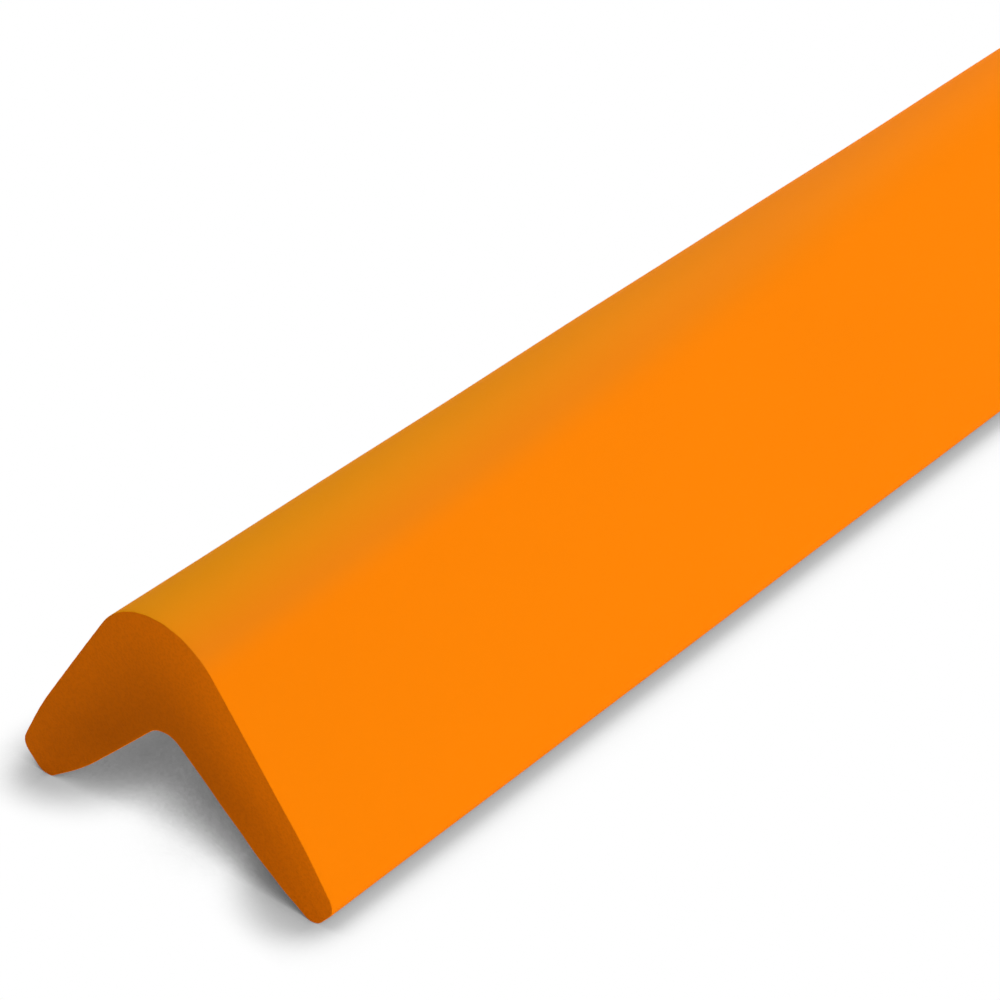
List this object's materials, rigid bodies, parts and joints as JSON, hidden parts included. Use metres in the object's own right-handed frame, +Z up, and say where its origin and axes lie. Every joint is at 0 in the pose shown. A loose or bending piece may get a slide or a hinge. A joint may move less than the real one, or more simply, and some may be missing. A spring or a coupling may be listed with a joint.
{
  "type": "corner guard moulding",
  "caption": "Soft foam corner guard moulding: a rounded nose with two tapering legs and an open inner angle that glues over the edge of a wall or post.",
  "frame": {"origin": "on the floor under the middle of the length, midway between the two lips", "axes": "+X along the length, +Y across the section from lip to lip, +Z up from the lips to the nose"},
  "size_m": [1, 0.0612, 0.0397],
  "materials": {
    "foam": "matte moulded skin"
  },
  "bodies": {
    "root": {"corner_guard": "foam"}
  },
  "joints": []
}
